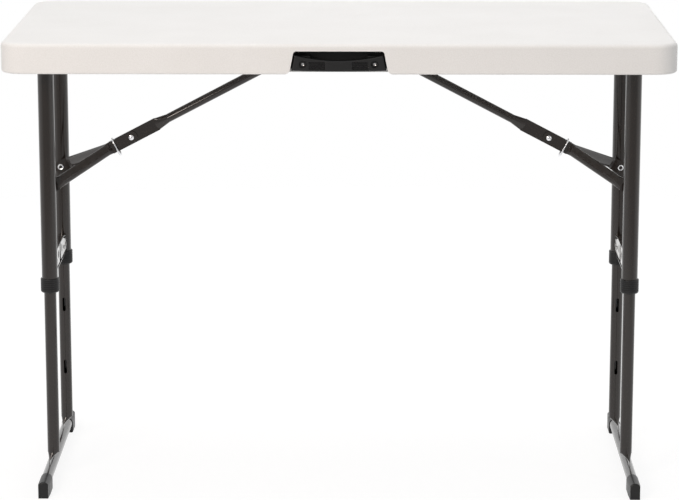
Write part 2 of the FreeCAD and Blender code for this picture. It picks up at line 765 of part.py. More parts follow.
def foot_cap():
    """Boot on the bar's +Y end, arched above and flat below."""
    y1 = foot_length / 2
    y0 = y1 - cap_length
    z = foot_bar_z
    arch = across(foot_bar_x, z, y0, y1, cap_radius)
    low = cap_radius - cap_base_chamfer
    base = side_plate([(foot_bar_x - low, 0), (foot_bar_x + low, 0),
                       (foot_bar_x + cap_radius, cap_base_chamfer), (foot_bar_x + cap_radius, z),
                       (foot_bar_x - cap_radius, z), (foot_bar_x - cap_radius, cap_base_chamfer)],
                      y0, y1)
    boot = joined([arch, base])
    nose = edges_where(boot, lambda b: b.YMin > y1 - 0.01 and b.ZMax > cap_base_chamfer + 0.1)
    boot = boot.makeFillet(cap_nose_round, nose)
    boot = boot.cut([cap_cheek(side, y1) for side in (-1, 1)])
    return boot.cut(across(foot_bar_x, z, y0 - past, y1 - cap_end_wall, foot_bar_radius + screw_gap))


# ---------------------------------------------------------------- one brace
def on_brace(shape):
    """Brings a piece drawn along +X from the brace's upper pivot to its place."""
    return in_line(shape, brace_pivot_x, brace_pivot_z, brace_slope)


def brace_tube():
    """Upper brace: round tube, closed and rounded at the upper pivot, pressed flat at the elbow."""
    tall = Vector(0, 0, 1)
    wide = Vector(0, 1, 0)
    root = brace_radius - taper_step
    half = brace_flat_height / 2
    round_end = brace_length - brace_flat_above - brace_taper
    flat_start = brace_length - brace_flat_above
    flat_end = brace_length + brace_tail - half
    tube = rod(Vector(0, 0, 0), Vector(round_end, 0, 0), brace_radius)
    bore = rod(Vector(brace_solid_end, 0, 0), Vector(round_end, 0, 0), brace_radius - brace_wall)
    crown = rod(Vector(-brace_radius, 0, 0), Vector(0.5, 0, 0), brace_radius)
    crown = crown.common(across(0, 0, -brace_radius - past, brace_radius + past, brace_radius))
    taper = Part.makeLoft([
        oval(Vector(round_end - 1.0, 0, 0), tall, wide, root + 0.001, root),
        oval(Vector(flat_start, 0, 0), tall, wide, half, brace_flat_thickness / 2),
    ], True, True)
    strip = lug(flat_start + half, flat_end, 0, half, -brace_flat_thickness / 2, brace_flat_thickness / 2)
    square = block(flat_start - 4.0, flat_start + half, -brace_flat_thickness / 2,
                   brace_flat_thickness / 2, -half, half)
    body = joined([tube.cut(bore), crown, taper, strip, square])
    wide_reach = brace_radius + past
    holes = [across(brace_length, 0, -wide_reach, wide_reach, rivet_radius + screw_gap),
             across(0, 0, -wide_reach, wide_reach, anchor_pin_radius + journal_gap)]
    return on_brace(body.cut(holes))


def elbow_rivet():
    """Rivet that joins the brace and the two fork arms."""
    outer = fork_inner_y + fork_flat_thickness
    crown = outer + rivet_head_height
    shank = across(brace_length, 0, -outer, outer, rivet_radius)
    head = across(brace_length, 0, outer, crown, rivet_head_radius)
    head = head.makeFillet(rivet_head_height * 0.65, edges_where(head, lambda b: b.YMin > crown - 0.01))
    return on_brace(joined([shank, head, mirror_y(head)]))


def on_fork(shape):
    """Brings a piece drawn along +X from the elbow to its place."""
    return on_brace(shape.translated(Vector(brace_length, 0, 0)))


def fork_arm():
    """One arm of the fork, +Y side: flat at the elbow, oval between, flat beside the leg tube."""
    tall = Vector(0, 0, 1)
    wide = Vector(0, 1, 0)
    near = fork_inner_y
    far = near + fork_flat_thickness
    half = fork_flat_height / 2
    pad_start = fork_length - half - fork_pad_tail
    root = lug(0, fork_straight - half, 0, half, near, far)
    root = root.fuse(block(fork_straight - half, fork_straight, near, far, -half, half))
    pad = lug(pad_start + half, fork_length, 0, half, fork_pad_inner_y, fork_pad_outer_y)
    pad = pad.fuse(block(pad_start, pad_start + half, fork_pad_inner_y, fork_pad_outer_y, -half, half))
    start = Vector(fork_straight - fork_lap, (near + far) / 2, 0)
    end = Vector(pad_start + fork_lap, (fork_pad_inner_y + fork_pad_outer_y) / 2, 0)
    way = end.sub(start).normalize()
    slant = Vector(-way.y, way.x, 0)
    bend = Vector(fork_bend, fork_bend / 2, 0)
    first = start + bend
    last = end - bend
    flat_start = oval(start, tall, wide, half - 0.5, fork_flat_thickness / 2 - screw_gap)
    flat_end = oval(end, tall, wide, half - 0.5, fork_flat_thickness / 2 - screw_gap)
    round_start = oval(first, tall, slant, fork_tube_radius, fork_tube_half_thick)
    round_end = oval(last, tall, slant, fork_tube_radius, fork_tube_half_thick)
    arm = joined([
        root,
        Part.makeLoft([flat_start, round_start], True, True),
        Part.makeLoft([round_start, round_end], True, True),
        Part.makeLoft([round_end, flat_end], True, True),
        pad,
    ])
    holes = [rod(first, last, fork_tube_half_thick - brace_wall),
             across(0, 0, near - past, far + past, rivet_radius + journal_gap),
             across(fork_length, 0, fork_pad_inner_y - past, fork_pad_outer_y + past,
                    rivet_radius + screw_gap)]
    return on_fork(arm.cut(holes))


def fork_rivets():
    """Tubular rivets at the fork's far ends, each with a washer next to the leg tube."""
    inner = fork_pad_inner_y
    outer = fork_pad_outer_y
    crown = inner - foot_rivet_head
    shank = across(fork_length, 0, inner, outer, rivet_radius)
    head = across(fork_length, 0, crown, inner, foot_rivet_radius)
    head = head.makeFillet(foot_rivet_head * 0.6, edges_where(head, lambda b: b.YMax < crown + 0.01))
    washer = across(fork_length, 0, outer, tube_face_y - side_gap, foot_rivet_radius + 1.2)
    rivet = joined([shank, head, washer])
    rivet = rivet.cut(across(fork_length, 0, crown - past, inner + 0.5, foot_rivet_bore))
    return on_fork(Part.makeCompound([rivet, mirror_y(rivet)]))


def lock_ring():
    """Wire ring that holds the elbow straight, drawn round the brace's tail."""
    bend = (ring_inner_width + ring_wire) / 2
    half = (ring_inner_height + ring_wire) / 2
    x = brace_length + ring_beyond_elbow
    z = -ring_hang
    run = half - bend
    corner = [Vector(x, side * bend, z + up * run) for side, up in ((-1, -1), (-1, 1), (1, 1), (1, -1))]
    path = Part.Wire([
        Part.makeLine(corner[0], corner[1]),
        Part.Arc(corner[1], Vector(x, 0, z + half), corner[2]).toShape(),
        Part.makeLine(corner[2], corner[3]),
        Part.Arc(corner[3], Vector(x, 0, z - half), corner[0]).toShape(),
    ])
    section = Part.Wire(Part.Circle(corner[0], Vector(0, 0, 1), ring_wire / 2).toShape())
    ring = path.makePipeShell([section], True, False)
    return on_brace(ring)


# ---------------------------------------------------------------- the whole table
def end_pieces():
    """Every piece of the +X end, by name without its side."""
    arm = fork_arm()
    lever = lock_lever()
    cap = foot_cap()
    return {
        "hinge_bracket_rear": hinge_bracket(),
        "hinge_bracket_front": mirror_y(hinge_bracket()),
        "brace_pin": brace_pin(),
        "pivot_tube": pivot_tube(),
        "pivot_bushes": pivot_bushes(),
        "outer_tube_front": outer_tube(-tube_y),
        "outer_tube_rear": outer_tube(tube_y),
        "tube_plugs": tube_plugs(),
        "collar_front": collar(-tube_y),
        "collar_rear": collar(tube_y),
        "lock_channel": lock_channel(),
        "lock_guides": lock_guides(),
        "lock_lever_front": mirror_y(lever),
        "lock_lever_rear": lever,
        "lock_spring": lock_spring(),
        "inner_tube_front": inner_tube(-tube_y),
        "inner_tube_rear": inner_tube(tube_y),
        "inner_bushes": inner_bushes(),
        "foot_bar": foot_bar(),
        "foot_cap_front": mirror_y(cap),
        "foot_cap_rear": cap,
        "brace_tube": brace_tube(),
        "elbow_rivet": elbow_rivet(),
        "fork_arm_front": mirror_y(arm),
        "fork_arm_rear": arm,
        "fork_rivets": fork_rivets(),
        "lock_ring": lock_ring(),
    }


def all_nodes():
    nodes = {
        "table_top": table_top(),
        "carry_handle": carry_handle(),
        "handle_screws": handle_screws(),
        "brace_anchor_front": mirror_y(brace_anchor()),
        "brace_anchor_rear": brace_anchor(),
        "underside_screws": underside_screws(),
    }
    for name, shape in end_pieces().items():
        nodes["right_" + name] = shape
        nodes["left_" + name] = mirror_x(shape)
    return nodes


def main():
    os.makedirs("parts", exist_ok=True)
    for name, shape in all_nodes().items():
        solids = shape.Solids
        print(f"{name}: {len(solids)} solid(s), {shape.Volume / 1000:.2f} cm3, valid {shape.isValid()}")
        out = solids[0] if len(solids) == 1 else Part.makeCompound(solids)
        out.exportStep(os.path.join("parts", name + ".step"))
    print(f"fold pivot x {pivot_x:.2f}, brace pivot x {brace_pivot_x:.2f}, "
          f"brace {brace_length:.2f}, fork {fork_length:.2f}, slope {brace_slope:.2f} degrees")


main()
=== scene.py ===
# %% [markdown]
# # A folding utility table with a moulded top
# The steel legs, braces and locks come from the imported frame. This file lights them, gives each its
# finish, and makes finer pieces wherever a moulded or riveted part has more to it than its
# engineering solid shows.

# %% Load the frame and measure it
import json
import math

import bmesh
import bpy
from mathutils import Matrix, Vector


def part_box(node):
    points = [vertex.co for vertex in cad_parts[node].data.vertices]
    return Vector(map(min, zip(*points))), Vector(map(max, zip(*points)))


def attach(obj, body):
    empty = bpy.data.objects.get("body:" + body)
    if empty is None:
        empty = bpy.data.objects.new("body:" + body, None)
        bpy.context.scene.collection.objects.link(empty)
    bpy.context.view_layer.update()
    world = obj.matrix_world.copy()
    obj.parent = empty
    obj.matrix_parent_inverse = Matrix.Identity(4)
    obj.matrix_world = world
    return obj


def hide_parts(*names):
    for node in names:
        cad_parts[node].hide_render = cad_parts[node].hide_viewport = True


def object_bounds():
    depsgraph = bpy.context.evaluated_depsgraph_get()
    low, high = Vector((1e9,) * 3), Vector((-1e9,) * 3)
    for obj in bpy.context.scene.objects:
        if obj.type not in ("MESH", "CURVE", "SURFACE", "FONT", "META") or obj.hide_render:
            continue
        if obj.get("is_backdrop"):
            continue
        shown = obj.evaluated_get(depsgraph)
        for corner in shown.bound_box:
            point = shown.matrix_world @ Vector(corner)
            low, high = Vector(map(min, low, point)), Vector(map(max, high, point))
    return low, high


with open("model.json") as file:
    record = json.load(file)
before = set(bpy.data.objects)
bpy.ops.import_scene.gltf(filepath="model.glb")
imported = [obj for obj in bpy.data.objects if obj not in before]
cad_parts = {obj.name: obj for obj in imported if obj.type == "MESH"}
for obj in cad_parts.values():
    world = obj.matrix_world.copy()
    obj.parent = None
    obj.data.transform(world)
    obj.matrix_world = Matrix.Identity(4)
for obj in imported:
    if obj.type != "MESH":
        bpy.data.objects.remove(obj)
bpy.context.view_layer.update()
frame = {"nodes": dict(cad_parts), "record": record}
nodes = frame["nodes"]
MM = 0.001

# %% [markdown]
# ## The view
# A long lens a few metres away keeps the legs almost parallel, and the camera looks down by about
# twelve degrees, so the top reads as a shallow band with the front rim below it.

# %% Camera
CAMERA_PLACE = Vector((0.0417, -5.3448, 1.5887))
CAMERA_DOWN = math.radians(12.322)
CAMERA_LEFT = math.radians(0.458)
LENS_MM, SENSOR_MM = 150.7, 36.0
VIEW_REACH = 60.0

lens = bpy.data.cameras.new("view")
lens.lens = LENS_MM
lens.sensor_width = SENSOR_MM
lens.clip_end = VIEW_REACH
camera = bpy.data.objects.new("view", lens)
camera.location = CAMERA_PLACE
camera.rotation_euler = (math.pi / 2 - CAMERA_DOWN, 0.0, CAMERA_LEFT)
bpy.context.scene.collection.objects.link(camera)
bpy.context.scene.camera = camera
bpy.context.scene.view_settings.view_transform = "Standard"
print("camera", round(CAMERA_PLACE.length, 2), "m from the middle of the floor")

# %% [markdown]
# ## Wiring nodes
# Every finish below is a small network of nodes. Two kinds come up all the time, arithmetic and the
# remapping of one range to another, so each gets a helper that returns its output, ready for use as
# another node's input.

# %% Node helpers
def maths(tree, operation, a, b):
    """The output of a Math node; a and b are numbers or other nodes' outputs."""
    node = tree.nodes.new("ShaderNodeMath")
    node.operation = operation
    for socket, value in zip(node.inputs, (a, b)):
        if isinstance(value, (int, float)):
            socket.default_value = value
        else:
            tree.links.new(value, socket)
    return node.outputs[0]


def ramp(tree, value, start, end, at_start=0.0, at_end=1.0, kind="LINEAR"):
    """Follow value from start, which may be the larger number, to end, and hold still past both."""
    node = tree.nodes.new("ShaderNodeMapRange")
    node.interpolation_type = kind
    node.inputs["From Min"].default_value = start
    node.inputs["From Max"].default_value = end
    node.inputs["To Min"].default_value = at_start
    node.inputs["To Max"].default_value = at_end
    tree.links.new(value, node.inputs["Value"])
    return node.outputs["Result"]


def object_place(tree):
    """Object coordinates, in metres: the pattern stays put on its piece when the piece moves."""
    return tree.nodes.new("ShaderNodeTexCoord").outputs["Object"]


# %% [markdown]
# ## The studio
# A white cove is only a colour here: the world is plain white to the camera and to reflections, and
# a quieter grey as a light. Reflections find the room a little darker towards the front, as behind
# any camera, which gives the glossy tubes something to show besides white.

# %% World
STUDIO_FILL = 0.43
DARK_END = 0.55                  # the room's brightness at the front, in reflections
DARKER_FROM, DARKER_TO = -0.35, -0.85


def seen_directly(tree):
    """A factor that is 1 for camera, mirror and glass rays, and 0 for the light that bounces."""
    path = tree.nodes.new("ShaderNodeLightPath").outputs
    seen_or_mirrored = maths(tree, "MAXIMUM", path["Is Camera Ray"], path["Is Glossy Ray"])
    return maths(tree, "MAXIMUM", seen_or_mirrored, path["Is Transmission Ray"])


def mix_shaders(tree, share, first, second):
    """A Mix Shader: first where share is 0, and second where it is 1."""
    node = tree.nodes.new("ShaderNodeMixShader")
    tree.links.new(share, node.inputs["Fac"])
    tree.links.new(first, node.inputs[1])
    tree.links.new(second, node.inputs[2])
    return node.outputs[0]


world = bpy.data.worlds.new("white cove")
world.use_nodes = True
sky = world.node_tree
sky.nodes.clear()
fill = sky.nodes.new("ShaderNodeBackground")
fill.inputs["Color"].default_value = (1, 1, 1, 1)
fill.inputs["Strength"].default_value = STUDIO_FILL
direction = sky.nodes.new("ShaderNodeSeparateXYZ")
sky.links.new(sky.nodes.new("ShaderNodeTexCoord").outputs["Generated"], direction.inputs[0])
room = ramp(sky, direction.outputs["Y"], DARKER_FROM, DARKER_TO, at_start=1.0, at_end=DARK_END,
            kind="SMOOTHSTEP")
is_camera = sky.nodes.new("ShaderNodeLightPath").outputs["Is Camera Ray"]
card = sky.nodes.new("ShaderNodeBackground")
card.inputs["Strength"].default_value = 1.0
sky.links.new(maths(sky, "MAXIMUM", room, is_camera), card.inputs["Color"])
shown = mix_shaders(sky, seen_directly(sky), fill.outputs[0], card.outputs[0])
sky.links.new(shown, sky.nodes.new("ShaderNodeOutputWorld").inputs["Surface"])
bpy.context.scene.world = world
print("world fill", STUDIO_FILL)

# %% [markdown]
# The lamps are large soft boxes, because a small lamp would draw hard shadows under the rim. Each is
# given as a level, which is how bright a white card would turn when facing it from the table's
# place, so the numbers can be added up in the head.

# %% Soft boxes
TABLE_MIDDLE = Vector((0, 0, 0.6))


def soft_box(name, place, width, height, level, tint=(1, 1, 1), mirrored=True):
    """Area lamp aimed at the table; level is what it adds to a white card that faces it.
    A lamp that isn't mirrored lights without showing as a streak in glossy surfaces."""
    data = bpy.data.lights.new(name, "AREA")
    data.shape = "RECTANGLE"
    data.size, data.size_y = width, height
    data.color = tint
    aim = TABLE_MIDDLE - Vector(place)
    data.energy = level * math.pi ** 2 * aim.length_squared
    lamp = bpy.data.objects.new(name, data)
    lamp.location = place
    lamp.rotation_euler = aim.to_track_quat("-Z", "Y").to_euler()
    lamp.visible_glossy = mirrored
    bpy.context.scene.collection.objects.link(lamp)
    print(name, "level", level, "energy", round(data.energy, 1), "W")


soft_box("overhead", (0.0, 0.3, 3.6), 2.6, 2.0, 0.45, tint=(1.0, 0.995, 0.995))
soft_box("key", (-1.7, -3.3, 1.9), 1.2, 1.2, 0.38, tint=(1.0, 0.89, 0.81))
soft_box("back_fill", (0.6, 3.4, 1.2), 1.8, 1.2, 0.20, mirrored=False)
soft_box("right_fill", (2.6, -1.4, 1.6), 0.6, 1.6, 0.05, tint=(1.0, 0.96, 0.93))

# %% [markdown]
# ## The floor
# The floor fades out before its edge, so no horizon shows, and it is clear from below, so the
# underside can be looked at. What is seen of it is mostly its own white, with enough plain paint
# in the mix to keep the table's soft shadow.

# %% Floor
FLOOR_HALF = 3.0
FLOOR_DROP = 0.6 * MM            # the feet stand just clear of it, so no two faces share a plane
FADE_FROM, FADE_TO = 0.5 * FLOOR_HALF, 0.95 * FLOOR_HALF
FLOOR_GLOW, FLOOR_PAINT, FLOOR_BOUNCE = 0.86, 0.20, 0.82


def shader(tree, kind, level):
    """A plain grey shader, such as Diffuse or Emission, at its default strength."""
    node = tree.nodes.new(kind)
    node.inputs["Color"].default_value = (level, level, level, 1)
    return node


def floor_material():
    """White to the eye and to reflections, pale paint to the light that bounces."""
    made = bpy.data.materials.new("white floor")
    made.use_nodes = True
    tree = made.node_tree
    tree.nodes.clear()
    glow = shader(tree, "ShaderNodeEmission", 1.0)
    glow.inputs["Strength"].default_value = FLOOR_GLOW
    to_the_eye = tree.nodes.new("ShaderNodeAddShader")
    tree.links.new(glow.outputs[0], to_the_eye.inputs[0])
    tree.links.new(shader(tree, "ShaderNodeBsdfDiffuse", FLOOR_PAINT).outputs[0], to_the_eye.inputs[1])
    bounce = shader(tree, "ShaderNodeBsdfDiffuse", FLOOR_BOUNCE)
    by_ray = mix_shaders(tree, seen_directly(tree), bounce.outputs[0], to_the_eye.outputs[0])
    distance = tree.nodes.new("ShaderNodeVectorMath")
    distance.operation = "LENGTH"
    tree.links.new(object_place(tree), distance.inputs[0])
    faded = ramp(tree, distance.outputs["Value"], FADE_FROM, FADE_TO)
    from_below = tree.nodes.new("ShaderNodeNewGeometry").outputs["Backfacing"]
    unseen = maths(tree, "MAXIMUM", faded, from_below)
    clear = tree.nodes.new("ShaderNodeBsdfTransparent")
    surface = mix_shaders(tree, unseen, by_ray, clear.outputs[0])
    tree.links.new(surface, tree.nodes.new("ShaderNodeOutputMaterial").inputs["Surface"])
    return made


sheet = bmesh.new()
bmesh.ops.create_grid(sheet, x_segments=1, y_segments=1, size=FLOOR_HALF)
bmesh.ops.translate(sheet, verts=sheet.verts, vec=(0, 0, -FLOOR_DROP))
floor_mesh = bpy.data.meshes.new("floor")
sheet.to_mesh(floor_mesh)
sheet.free()
floor = bpy.data.objects.new("floor", floor_mesh)
floor.data.materials.append(floor_material())
bpy.context.scene.collection.objects.link(floor)
floor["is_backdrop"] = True
print("floor", 2 * FLOOR_HALF, "m square")

# %% [markdown]
# ## Surface effects shared by several finishes
# Real surfaces are never one even colour. Three effects turn up on most of this table: a moulded
# grain, the slow unevenness of a sprayed or moulded skin, and fine handling scuffs. Each could be
# wired again in every material, but as a node group it is built once, and each finish sets its own
# values. The groups read Object coordinates, in metres, so a scale of 1000 is a millimetre.

# %% Node group helpers
def new_group(name, inputs, outputs):
    """An empty group with number inputs {name: default} and number outputs [name]."""
    group = bpy.data.node_groups.new(name, "ShaderNodeTree")
    for label, default in inputs.items():
        socket = group.interface.new_socket(label, in_out="INPUT", socket_type="NodeSocketFloat")
        socket.default_value = default
    for label in outputs:
        group.interface.new_socket(label, in_out="OUTPUT", socket_type="NodeSocketFloat")
    return group, group.nodes.new("NodeGroupInput"), group.nodes.new("NodeGroupOutput")


def noise(tree, place, scale, detail=2.0, stretch=None):
    """Noise at a place; stretch squeezes the pattern along X, Y and Z."""
    if stretch:
        squeeze = tree.nodes.new("ShaderNodeMapping")
        squeeze.inputs["Scale"].default_value = stretch
        tree.links.new(place, squeeze.inputs["Vector"])
        place = squeeze.outputs[0]
    node = tree.nodes.new("ShaderNodeTexNoise")
    tree.links.new(place, node.inputs["Vector"])
    node.inputs["Detail"].default_value = detail
    if isinstance(scale, (int, float)):
        node.inputs["Scale"].default_value = scale
    else:
        tree.links.new(scale, node.inputs["Scale"])
    return node.outputs["Fac"]


# %% [markdown]
# A blow mould is etched, so that its skin hides scratches: the moulding comes out with rounded
# pebbles a millimetre or two wide. Voronoi cells with soft borders make pebbles, and a finer noise
# on top keeps them from looking alike.

# %% Moulded grain
def moulded_grain_group():
    """Raised pebbles about 1 / Fineness metres wide, uneven as an etched mould leaves them."""
    group, source, result = new_group("moulded grain", {"Fineness": 700.0}, ["Height", "Valleys"])
    place = object_place(group)
    cells = group.nodes.new("ShaderNodeTexVoronoi")
    cells.feature = "SMOOTH_F1"
    cells.inputs["Smoothness"].default_value = 0.6
    group.links.new(place, cells.inputs["Vector"])
    group.links.new(source.outputs["Fineness"], cells.inputs["Scale"])
    pebbles = maths(group, "SUBTRACT", 1.0, cells.outputs["Distance"])
    grit = noise(group, place, maths(group, "MULTIPLY", source.outputs["Fineness"], 1.7))
    height = maths(group, "ADD", maths(group, "MULTIPLY", pebbles, 0.7),
                   maths(group, "MULTIPLY", grit, 0.5))
    group.links.new(height, result.inputs["Height"])
    group.links.new(ramp(group, height, 0.85, 0.45), result.inputs["Valleys"])
    return group


moulded_grain = moulded_grain_group()
print("group", moulded_grain.name)

# %% [markdown]
# Plastic cools unevenly in its mould, and powder flows a little before it sets. Both leave broad,
# faint clouds, and the powder coat also a fine ripple, so one group gives both at scales that
# follow the same breadth.

# %% Slow unevenness
def skin_drift_group():
    """Broad, faint clouds, and a ripple much finer than they are."""
    group, source, result = new_group("skin drift", {"Breadth": 9.0}, ["Cloud", "Ripple"])
    place = object_place(group)
    breadth = source.outputs["Breadth"]
    clouds = ramp(group, noise(group, place, breadth, 3.0), 0.3, 0.7)
    group.links.new(clouds, result.inputs["Cloud"])
    ripple = noise(group, place, maths(group, "MULTIPLY", breadth, 45.0), 1.0)
    group.links.new(ripple, result.inputs["Ripple"])
    return group


skin_drift = skin_drift_group()
print("group", skin_drift.name)

# %% [markdown]
# A table that is carried and stacked gets rubbed in patches, in streaks that mostly run along or
# across it. Noise squeezed along one axis makes streaks, and a slow noise decides where they lie.

# %% Handling scuffs
def scuffs_group():
    """Thin rubbed streaks in two directions, for roughness and a faint paleness."""
    group, source, result = new_group("scuffs", {"Amount": 0.5}, ["Mask"])
    place = object_place(group)
    across = ramp(group, noise(group, place, 60.0, 4.0, stretch=(1.0, 9.0, 2.0)), 0.62, 0.78)
    along = ramp(group, noise(group, place, 75.0, 4.0, stretch=(8.0, 1.0, 1.4)), 0.64, 0.80)
    patches = ramp(group, noise(group, place, 7.0, 1.0), 0.42, 0.66)
    streaks = maths(group, "MULTIPLY", maths(group, "MAXIMUM", across, along), patches)
    group.links.new(maths(group, "MULTIPLY", streaks, source.outputs["Amount"]), result.inputs["Mask"])
    return group


scuffs = scuffs_group()
print("group", scuffs.name)

# %% [markdown]
# ## Finishes
# Six finishes cover the table: white polyethylene, glossy bronze powder coat, black plastic, bright
# zinc plate on the lock levers, chrome on the rings and rivets, and the plated screws. Each starts
# from a Principled shader whose fixed numbers are set on its own sockets.

# %% Finish helpers
FINISHES = {}


def finish(name, **fixed):
    """A material with one Principled shader; fixed values are its sockets, by name."""
    made = bpy.data.materials.new(name)
    made.use_nodes = True
    tree = made.node_tree
    principled = tree.nodes["Principled BSDF"]
    for label, value in fixed.items():
        principled.inputs[label.replace("_", " ")].default_value = value
    return made, tree, principled


def use(tree, group, **values):
    """Place a node group with its own values, and return its outputs."""
    node = tree.nodes.new("ShaderNodeGroup")
    node.node_tree = group
    for label, value in values.items():
        node.inputs[label].default_value = value
    return node.outputs


def blend_colours(tree, amount, first, second):
    """The first colour where amount is 0, the second where it is 1."""
    node = tree.nodes.new("ShaderNodeMix")
    node.data_type = "RGBA"
    node.inputs["A"].default_value = (*first, 1)
    node.inputs["B"].default_value = (*second, 1)
    tree.links.new(amount, node.inputs["Factor"])
    return node.outputs["Result"]


def bump(tree, principled, height, strength, distance):
    """Tilt the light's path by a height pattern; distance is the pattern's full height."""
    node = tree.nodes.new("ShaderNodeBump")
    node.inputs["Strength"].default_value = strength
    node.inputs["Distance"].default_value = distance
    tree.links.new(height, node.inputs["Height"])
    tree.links.new(node.outputs[0], principled.inputs["Normal"])


# %% [markdown]
# The top is blow-moulded polyethylene: matt and faintly waxy, with a pebbled skin whose valleys
# look a shade greyer because dust and shadow gather there. The valleys could be painted from the
# bump alone, but a little colour keeps the grain alive under flat light.

# %% White moulding
PEBBLE_WHITE, VALLEY_WHITE = (0.885, 0.88, 0.872), (0.80, 0.792, 0.778)


def white_moulding():
    """Polyethylene: a waxy white with a fine pebble."""
    made, tree, principled = finish("white moulding", IOR=1.5, Specular_IOR_Level=0.28)
    grain = use(tree, moulded_grain, Fineness=520.0)
    drift = use(tree, skin_drift, Breadth=7.0)
    marks = use(tree, scuffs, Amount=0.5)
    tone = maths(tree, "ADD", maths(tree, "MULTIPLY", grain["Valleys"], 0.5),
                 maths(tree, "MULTIPLY", drift["Cloud"], 0.25))
    tree.links.new(blend_colours(tree, tone, PEBBLE_WHITE, VALLEY_WHITE), principled.inputs["Base Color"])
    rough = maths(tree, "ADD", 0.50, maths(tree, "MULTIPLY", drift["Cloud"], 0.06))
    rough = maths(tree, "SUBTRACT", rough, maths(tree, "MULTIPLY", marks["Mask"], 0.16))
    tree.links.new(rough, principled.inputs["Roughness"])
    bump(tree, principled, grain["Height"], 0.35, 0.25 * MM)
    return made


FINISHES["white_moulding"] = white_moulding()
print("finish", FINISHES["white_moulding"].name)

# %% [markdown]
# The steel is powder-coated in a bronze so dark that it reads as black until light grazes it. A
# baked coat is a colour under a clear gloss, so the shader's coat does the mirror and the base only
# a soft sheen. Pale flecks and rubbed streaks break the brown, and a slight orange-peel ripple
# breaks the long highlights.

# %% Bronze powder coat
DEEP_BRONZE, FLECK_BRONZE = (0.0125, 0.0078, 0.0052), (0.036, 0.026, 0.020)


def bronze_coat():
    """Powder coat baked to a gloss: nearly black brown."""
    made, tree, principled = finish("bronze powder coat", IOR=1.5, Specular_IOR_Level=0.28,
                                    Coat_Weight=0.6, Coat_Roughness=0.07)
    drift = use(tree, skin_drift, Breadth=22.0)
    marks = use(tree, scuffs, Amount=0.6)
    flecks = ramp(tree, noise(tree, object_place(tree), 2600.0, 1.0), 0.58, 0.75)
    tone = maths(tree, "ADD", maths(tree, "MULTIPLY", flecks, 0.35),
                 maths(tree, "MULTIPLY", marks["Mask"], 0.6))
    tree.links.new(blend_colours(tree, tone, DEEP_BRONZE, FLECK_BRONZE), principled.inputs["Base Color"])
    rough = maths(tree, "ADD", 0.20, maths(tree, "MULTIPLY", marks["Mask"], 0.3))
    rough = maths(tree, "ADD", rough, maths(tree, "MULTIPLY", drift["Cloud"], 0.05))
    tree.links.new(rough, principled.inputs["Roughness"])
    bump(tree, principled, drift["Ripple"], 0.08, 0.10 * MM)
    return made


FINISHES["bronze_powder_coat"] = bronze_coat()
print("finish", FINISHES["bronze_powder_coat"].name)

# %% [markdown]
# The handle, collars and foot caps are black plastic with a texture much finer than the top's. It
# scatters enough light to look charcoal, not black, and turns shinier where hands and floors rub it.

# %% Black plastic
FRESH_BLACK, RUBBED_BLACK = (0.0125, 0.0126, 0.0132), (0.034, 0.035, 0.036)


def black_plastic():
    """Polypropylene with a fine moulded texture."""
    made, tree, principled = finish("black plastic", IOR=1.49, Specular_IOR_Level=0.30)
    grain = use(tree, moulded_grain, Fineness=1500.0)
    marks = use(tree, scuffs, Amount=0.8)
    tree.links.new(blend_colours(tree, marks["Mask"], FRESH_BLACK, RUBBED_BLACK),
                   principled.inputs["Base Color"])
    rough = maths(tree, "SUBTRACT", 0.38, maths(tree, "MULTIPLY", marks["Mask"], 0.12))
    tree.links.new(rough, principled.inputs["Roughness"])
    bump(tree, principled, grain["Height"], 0.3, 0.10 * MM)
    return made


FINISHES["black_plastic"] = black_plastic()
print("finish", FINISHES["black_plastic"].name)

# %% [markdown]
# Zinc, chrome and the screws' plating are the same kind of surface: bare metal whose colour drifts
# between two greys and whose polish is drawn out in fine lines. One function makes all three, from
# a dull brushed zinc to a nearly clear chrome.

# %% Plated steels
BRUSHED, EVEN = (1400.0, 90.0, 1400.0), (500.0, 500.0, 500.0)


def plated(name, colour, shade, roughness, spread, grit):
    """Bright plating: grit is the scale of its polishing lines along X, Y and Z."""
    made, tree, principled = finish(name, Metallic=1.0)
    drift = use(tree, skin_drift, Breadth=40.0)
    marks = use(tree, scuffs, Amount=0.7)
    tree.links.new(blend_colours(tree, drift["Cloud"], colour, shade), principled.inputs["Base Color"])
    lines = noise(tree, object_place(tree), 1.0, 2.0, stretch=grit)
    rough = maths(tree, "ADD", roughness, maths(tree, "MULTIPLY", lines, spread))
    rough = maths(tree, "ADD", rough, maths(tree, "MULTIPLY", marks["Mask"], 0.15))
    tree.links.new(rough, principled.inputs["Roughness"])
    bump(tree, principled, lines, 0.2, 0.05 * MM)
    return made


FINISHES["zinc_plate"] = plated("zinc plate", (0.80, 0.79, 0.77), (0.68, 0.68, 0.68), 0.28, 0.12, BRUSHED)
FINISHES["chrome_wire"] = plated("chrome wire", (0.86, 0.86, 0.87), (0.78, 0.79, 0.81), 0.06, 0.06, EVEN)
FINISHES["steel_screw"] = plated("steel screw", (0.55, 0.54, 0.53), (0.42, 0.42, 0.42), 0.24, 0.10, EVEN)
print("finishes", ", ".join(FINISHES))

# %% [markdown]
# The record names a material slot for each node, and each slot is one of the six finishes, so no
# list of nodes is needed here.

# %% Give every node the finish of its slot
SLOT_OF = {part["node"]: part["material_slot"] for part in frame["record"]["subparts"]}
for name, node in nodes.items():
    node.data.materials.clear()
    node.data.materials.append(FINISHES[SLOT_OF[name]])
print("finished", len(nodes), "nodes")

# %% [markdown]
# ## Finer pieces
# Some of the engineering solids are plainer than the real parts: the handle is a moulding with
# soft edges, grooves and sunk screws, and the rivets are rolled over at their ends. These pieces
# take the solids' places. Each one is measured from its node's box, so it follows the frame.

# %% Piece helpers
SOFT_EDGE = math.radians(35.0)   # a corner up to this sharp is shaded as a curve
WELD = 0.01 * MM


